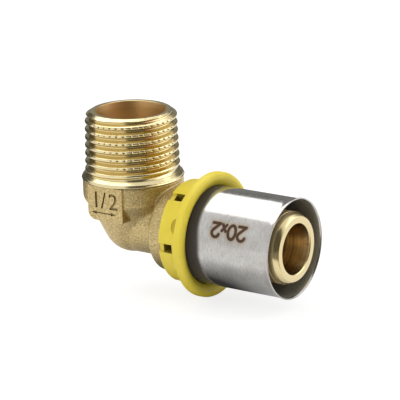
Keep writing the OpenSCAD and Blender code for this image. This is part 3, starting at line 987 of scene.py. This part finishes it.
def heat_mark(bm):
    """Refines the sleeve's mesh where the size mark is, and stores the mark as an attribute."""
    def in_mark(vert):
        along, up = mark_place(vert)
        outside = math.hypot(vert.co.y, vert.co.z + AXIS_DROP * MM) / MM > SLEEVE_R - 0.05
        beside = -MARK_MARGIN < along < MARK_LENGTH + MARK_MARGIN
        return outside and beside and -MARK_MARGIN < up < 1 + MARK_MARGIN

    edges = [edge for edge in bm.edges if all(in_mark(vert) for vert in edge.verts)]
    bmesh.ops.subdivide_edges(bm, edges=edges, cuts=2, use_grid_fill=True)
    layer = bm.verts.layers.float.new("heat_mark")
    strokes = mark_strokes()
    for vert in bm.verts:
        if not in_mark(vert):
            continue
        outward = Vector((0, vert.co.y, vert.co.z + AXIS_DROP * MM)).normalized() * SLEEVE_R * MM
        vert.co.y, vert.co.z = outward.y, outward.z - AXIS_DROP * MM
        away = stroke_distance(mark_place(vert), strokes) * MARK_HEIGHT
        core = min(1.0, max(0.0, (MARK_STROKE - away) / MARK_EDGE))
        vert[layer] = max(core, MARK_HALO * math.exp(-((away / MARK_HALO_W) ** 2)))


def press_sleeve():
    """Thin steel sleeve with a flared, eased mouth."""
    inner = SLEEVE_R - SLEEVE_WALL
    mouth = SLEEVE_MOUTH
    lip = mouth - LIP_L
    flare = SLEEVE_R + LIP_FLARE
    points = [(SLEEVE_BACK, inner + 0.1), (SLEEVE_BACK, SLEEVE_R - 0.1), (SLEEVE_BACK + 0.1, SLEEVE_R)]
    points += [(MARK_START_X + 1.6 - 0.26 * i, SLEEVE_R) for i in range(50, -1, -1)]
    points += [
        (lip - 0.5, SLEEVE_R), (lip, SLEEVE_R + 0.02), (lip + 0.5, SLEEVE_R + 0.08),
        (mouth - 0.15, flare - 0.02), (mouth - 0.03, flare - 0.04), (mouth, flare - 0.1),
        (mouth, flare - 0.3), (mouth - 0.06, flare - 0.36), (mouth - 0.34, SLEEVE_R - 0.25),
        (lip + 0.5, inner + 0.12), (lip, inner + 0.02), (lip - 0.5, inner), (SLEEVE_BACK + 0.1, inner),
    ]
    bm = turned_on_pipe(points, 256)
    heat_mark(bm)
    piece = finish_piece("press_sleeve_shell", bm, [SLEEVE_STEEL, INNER_STEEL])
    mark_bore(piece, "X", SLEEVE_R - 0.25)
    return piece


def ring_profile():
    """Profile of the retaining ring as [distance along the pipe axis, radius]."""
    flange_back = RING_BACK + HUB_L
    web_r = SNAP_R + 0.1
    web_front = RING_BACK + 1.5
    points = [
        (RING_BACK, web_r), (RING_BACK, HUB_R - 0.3),
        (RING_BACK + 0.09, HUB_R - 0.09), (RING_BACK + 0.3, HUB_R),
    ]
    points += ring_points((flange_back - 0.6, HUB_R + 0.6), 0.6, 270, 360, 5)
    points += ring_points((flange_back + 0.8, FLANGE_R - 0.8), 0.8, 180, 90, 6)
    points += ring_points((FLANGE_FRONT - 0.8, FLANGE_R - 0.8), 0.8, 90, 0, 6)
    points += [
        (FLANGE_FRONT, RING_BORE_R + 1.8), (FLANGE_FRONT - 0.08, RING_BORE_R + 1.5),
        (FLANGE_FRONT - 0.9, RING_BORE_R + 0.15), (FLANGE_FRONT - 1.1, RING_BORE_R),
        (SEAT_X, RING_BORE_R), (SEAT_X, PIPE_POCKET_R), (web_front, PIPE_POCKET_R), (web_front, web_r),
    ]
    return points


def block_cutter(low, high, turn):
    """Block between two corners [radial, across, along], turned about the pipe axis."""
    bm = bmesh.new()
    low, high = Vector(low) * MM, Vector(high) * MM
    size = high - low
    matrix = (pipe_axis_matrix() @ Matrix.Rotation(math.radians(turn), 4, "Z")
              @ Matrix.Translation((low + high) / 2) @ Matrix.Diagonal((*size, 1)))
    bmesh.ops.create_cube(bm, size=1, matrix=matrix)
    return bm


def dimple_cutter(along, turn):
    """Flattened ball that sinks a shallow pocket into the hub."""
    bm = bmesh.new()
    matrix = (pipe_axis_matrix() @ Matrix.Rotation(math.radians(turn), 4, "Z")
              @ Matrix.Translation(Vector((HUB_R, 0, along)) * MM)
              @ Matrix.Diagonal(Vector((POCKET_DEPTH, POCKET_W / 2, POCKET_L / 2, 1000)) * MM))
    bmesh.ops.create_uvsphere(bm, u_segments=32, v_segments=16, radius=1, matrix=matrix)
    # The pocket's darker yellow is painted shade
    for face in bm.faces:
        face.material_index = 2
    return bm


def retaining_ring():
    """Yellow ring with windows, notches and shallow pockets."""
    materials = [RING_PLASTIC, RING_SHADE, RING_POCKET_SHADE]
    blank = finish_piece("ring_blank", turned_on_pipe(ring_profile(), 240), materials)
    cutters = bmesh.new()
    step = 360 / WINDOW_COUNT
    window_start = SEAT_X - WINDOW_L - 0.15
    window_end = window_start + WINDOW_L
    flange_back = RING_BACK + HUB_L
    half = WINDOW_W / 2
    past = HUB_R + 1.55
    for i in range(WINDOW_COUNT):
        turn = WINDOW_TURN + i * step
        window = block_cutter((WINDOW_FLOOR_R, -half, window_start), (past, half, window_end), turn)
        for face in window.faces:
            face.material_index = 1
        join_into(cutters, window)
        notch_low = (HUB_R - OPEN_NOTCH_DEPTH, -half, RING_BACK - 1)
        join_into(cutters, block_cutter(notch_low, (past, half, window_start + 0.2), turn))
        join_into(cutters, dimple_cutter(flange_back - 0.25 - POCKET_L / 2, turn + step / 2 + 4))
    cutter = finish_piece("window_cutters", cutters, materials)
    bm = combined(blank, cutter, "DIFFERENCE", overlapping=True)
    return finish_piece("plastic_ring", bm, materials)


def o_ring(name, x):
    """Rubber ring in its groove."""
    centre = (x, SEAL_FLOOR_R + SEAL_CLEARANCE + SEAL_SECTION_R)
    points = ring_points(centre, SEAL_SECTION_R, 0, 337.5, 15)
    return finish_piece(name, turned_on_pipe(points, 128), [SEAL_RUBBER])


tail = threaded_tail()
elbow = forged_elbow()
nipple = press_nipple()
sleeve = press_sleeve()
ring = retaining_ring()
front_seal = o_ring("front_seal", FRONT_SEAL_X)
rear_seal = o_ring("rear_seal", REAR_SEAL_X)

for piece, nodes_replaced, slot in (
    (tail, ["elbow_body"], "brass"),
    (elbow, ["elbow_body"], "brass"),
    (nipple, ["elbow_body"], "brass"),
    (sleeve, ["press_sleeve"], "sleeve_steel"),
    (ring, ["retaining_ring"], "ring_plastic"),
    (front_seal, ["front_o_ring"], "seal_rubber"),
    (rear_seal, ["rear_o_ring"], "seal_rubber"),
):
    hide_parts(*nodes_replaced)
    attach(piece, "root")


# Studio


def seen_directly(nodes, links):
    """1 for camera, glossy and transmission rays, and 0 for the rays that carry light."""
    rays = nodes.new("ShaderNodeLightPath")
    seen = math_node(nodes, links, "MAXIMUM", rays.outputs["Is Camera Ray"], rays.outputs["Is Glossy Ray"])
    return math_node(nodes, links, "MAXIMUM", seen, rays.outputs["Is Transmission Ray"])


def studio_floor():
    """Pale floor under the lowest point of the flange, lifted to white where it is looked at."""
    bm = bmesh.new()
    place = Matrix.Translation((0, 0, FLOOR_Z * MM))
    bmesh.ops.create_grid(bm, x_segments=1, y_segments=1, size=3.0, matrix=place)
    material, nodes, links, shader = new_material("studio_floor")
    seen = seen_directly(nodes, links)
    grey = mixed_colour(nodes, links, seen, (0.8, 0.8, 0.8), (0.3, 0.3, 0.3))
    links.new(grey, shader.inputs["Base Color"])
    shader.inputs["Roughness"].default_value = 0.9
    shader.inputs["Specular IOR Level"].default_value = 0.0
    shader.inputs["Emission Color"].default_value = (1, 1, 1, 1)
    lift = math_node(nodes, links, "MULTIPLY", seen, FLOOR_LIFT)
    links.new(lift, shader.inputs["Emission Strength"])
    floor = finish_piece("floor", bm, [material])


def glossy_card(name, bm, colour):
    """Makes a stage card of one tone, seen only in glossy reflections."""
    material, _, _, shader = new_material(name)
    shader.inputs["Base Color"].default_value = (0, 0, 0, 1)
    shader.inputs["Specular IOR Level"].default_value = 0.0
    shader.inputs["Emission Color"].default_value = (*colour, 1)
    shader.inputs["Emission Strength"].default_value = 1.0
    card = finish_piece(name, bm, [material])
    card.visible_camera = False
    card.visible_diffuse = False
    card.visible_shadow = False
    return card


def swept_card(name, start, end, near, far, colour):
    """Card swept round the Z axis between two angles to the right of the camera. Its near and far
    edges are given as (radius, height). Only the metal's reflections see it."""
    bm = bmesh.new()
    azimuth = math.radians(CAMERA_AZIMUTH + start - 90)
    ends = [bm.verts.new((r * math.cos(azimuth), r * math.sin(azimuth), z)) for r, z in (near, far)]
    edge = bm.edges.new(ends)
    bmesh.ops.spin(bm, geom=ends + [edge], cent=(0, 0, 0), axis=(0, 0, 1), dvec=(0, 0, 0),
                   angle=math.radians(end - start), steps=24, use_merge=False, use_duplicate=False)
    glossy_card(name, bm, colour)


def upright_card(name, start, end, low, high, colour):
    """Curved card that stands round the object."""
    swept_card(name, start, end, (CARD_DISTANCE, low), (CARD_DISTANCE, high), colour)


def floor_card(name, start, end, inner, outer, colour):
    """Sector just above the floor."""
    height = (FLOOR_Z + 0.03) * MM
    swept_card(name, start, end, (inner, height), (outer, height), colour)


def soft_box(name, place, size, radiance):
    """Rectangular area light that hangs level and faces down."""
    light = bpy.data.lights.new(name, "AREA")
    light.shape = "RECTANGLE"
    light.size, light.size_y = size
    light.energy = radiance * math.pi * size[0] * size[1]
    lamp = bpy.data.objects.new(name, light)
    lamp.location = place
    bpy.context.collection.objects.link(lamp)
    return lamp


def aimed_box(name, azimuth, elevation, distance, size, radiance):
    """Soft box that points at the object. Azimuth is to the right of the camera."""
    a, e = math.radians(CAMERA_AZIMUTH + azimuth), math.radians(elevation)
    away = Vector((math.sin(a) * math.cos(e), -math.cos(a) * math.cos(e), math.sin(e)))
    lamp = soft_box(name, LIGHT_TARGET + away * distance, size, radiance)
    lamp.rotation_euler = away.to_track_quat("Z", "Y").to_euler()
    return lamp


def painted_shadow_card(x, y, colour):
    """Level card under the object for the metal's reflections: its soft shadow, white at the rim."""
    bm = bmesh.new()
    place = Matrix.Translation((sum(x) / 2, sum(y) / 2, (FLOOR_Z + 0.05) * MM))
    bmesh.ops.create_circle(bm, cap_ends=True, cap_tris=True, segments=64, radius=0.5,
                            matrix=place @ Matrix.Diagonal((x[1] - x[0], y[1] - y[0], 1, 1)))
    layer = bm.verts.layers.float.new("rim_share")
    for vert in bm.verts:
        vert[layer] = 0.0 if len(vert.link_edges) > 3 else 1.0
    card = glossy_card("painted_shadow_card", bm, colour)
    nodes, links = card.active_material.node_tree.nodes, card.active_material.node_tree.links
    share = nodes.new("ShaderNodeAttribute")
    share.attribute_name = "rim_share"
    tone = colour_ramp(nodes, links, share.outputs["Fac"], [(0.3, colour), (0.95, (1, 1, 1))])
    links.new(tone, nodes["Principled BSDF"].inputs["Emission Color"])


def studio_world():
    """Grey surroundings for light, white where the camera and the reflections look past the object."""
    world = bpy.data.worlds.new("studio")
    world.use_nodes = True
    nodes, links = world.node_tree.nodes, world.node_tree.links
    mix = nodes.new("ShaderNodeMix")
    mix.data_type = "RGBA"
    links.new(seen_directly(nodes, links), mix.inputs["Factor"])
    mix.inputs["A"].default_value = (AMBIENT, AMBIENT, AMBIENT, 1)
    mix.inputs["B"].default_value = (1, 1, 1, 1)
    links.new(mix.outputs["Result"], nodes["Background"].inputs["Color"])
    bpy.context.scene.world = world


def photo_camera():
    """Camera at the photograph's angle and distance."""
    azimuth, elevation = math.radians(CAMERA_AZIMUTH), math.radians(CAMERA_ELEVATION)
    roll = math.radians(CAMERA_ROLL)
    back = Vector((math.sin(azimuth) * math.cos(elevation), -math.cos(azimuth) * math.cos(elevation),
                   math.sin(elevation)))
    right = Vector((math.cos(azimuth), math.sin(azimuth), 0))
    up = back.cross(right)
    place = (right * TARGET_RIGHT + up * TARGET_UP + back * CAMERA_DISTANCE - Vector((0, 0, AXIS_DROP))) * MM
    image_right = math.cos(roll) * right + math.sin(roll) * up
    image_up = math.cos(roll) * up - math.sin(roll) * right
    data = bpy.data.cameras.new("photo_camera")
    data.sensor_width = SENSOR_WIDTH
    data.lens = SENSOR_WIDTH * PIXELS_PER_MM * CAMERA_DISTANCE / FRAME_PIXELS
    data.clip_start = 0.01
    camera = bpy.data.objects.new("photo_camera", data)
    turn = Matrix((image_right, image_up, back)).transposed().to_4x4()
    camera.matrix_world = Matrix.Translation(place) @ turn
    bpy.context.collection.objects.link(camera)
    bpy.context.scene.camera = camera


studio_floor()
studio_world()
photo_camera()
left_box = aimed_box("left_box", azimuth=-75, elevation=35, distance=0.8, size=(0.7, 0.7), radiance=0.8)
left_box.visible_glossy = False
aimed_box("right_box", azimuth=95, elevation=30, distance=0.9, size=(0.7, 0.7), radiance=1.4)
soft_box("top_box", place=(-0.42, 0.22, 0.6), size=(0.84, 0.84), radiance=1.55)
upright_card("camera_card", -16, 42, -0.03, 1.0, (0.10, 0.095, 0.08))
upright_card("warm_card", 42, 78, -0.03, 0.16, (0.42, 0.17, 0.11))
upright_card("far_left_card", -200, -160, -0.03, 0.38, (0.26, 0.26, 0.25))
upright_card("side_left_card", -160, -116, -0.03, 0.38, (0.08, 0.08, 0.075))
upright_card("far_right_card", 132, 164, -0.03, 0.3, (0.15, 0.15, 0.14))
floor_card("front_floor_card", -15, 40, 0.07, 0.5, (0.26, 0.25, 0.22))
floor_card("warm_floor_card", 40, 60, 0.06, 0.5, (0.50, 0.20, 0.13))
floor_card("left_floor_card", -200, -114, 0.06, 0.5, (0.11, 0.11, 0.105))
# Dark card under the object: the painted shadow that the metal reflects
painted_shadow_card((-0.014, 0.05), (-0.025, 0.025), (0.05, 0.048, 0.045))

bpy.context.scene.view_settings.view_transform = "Standard"
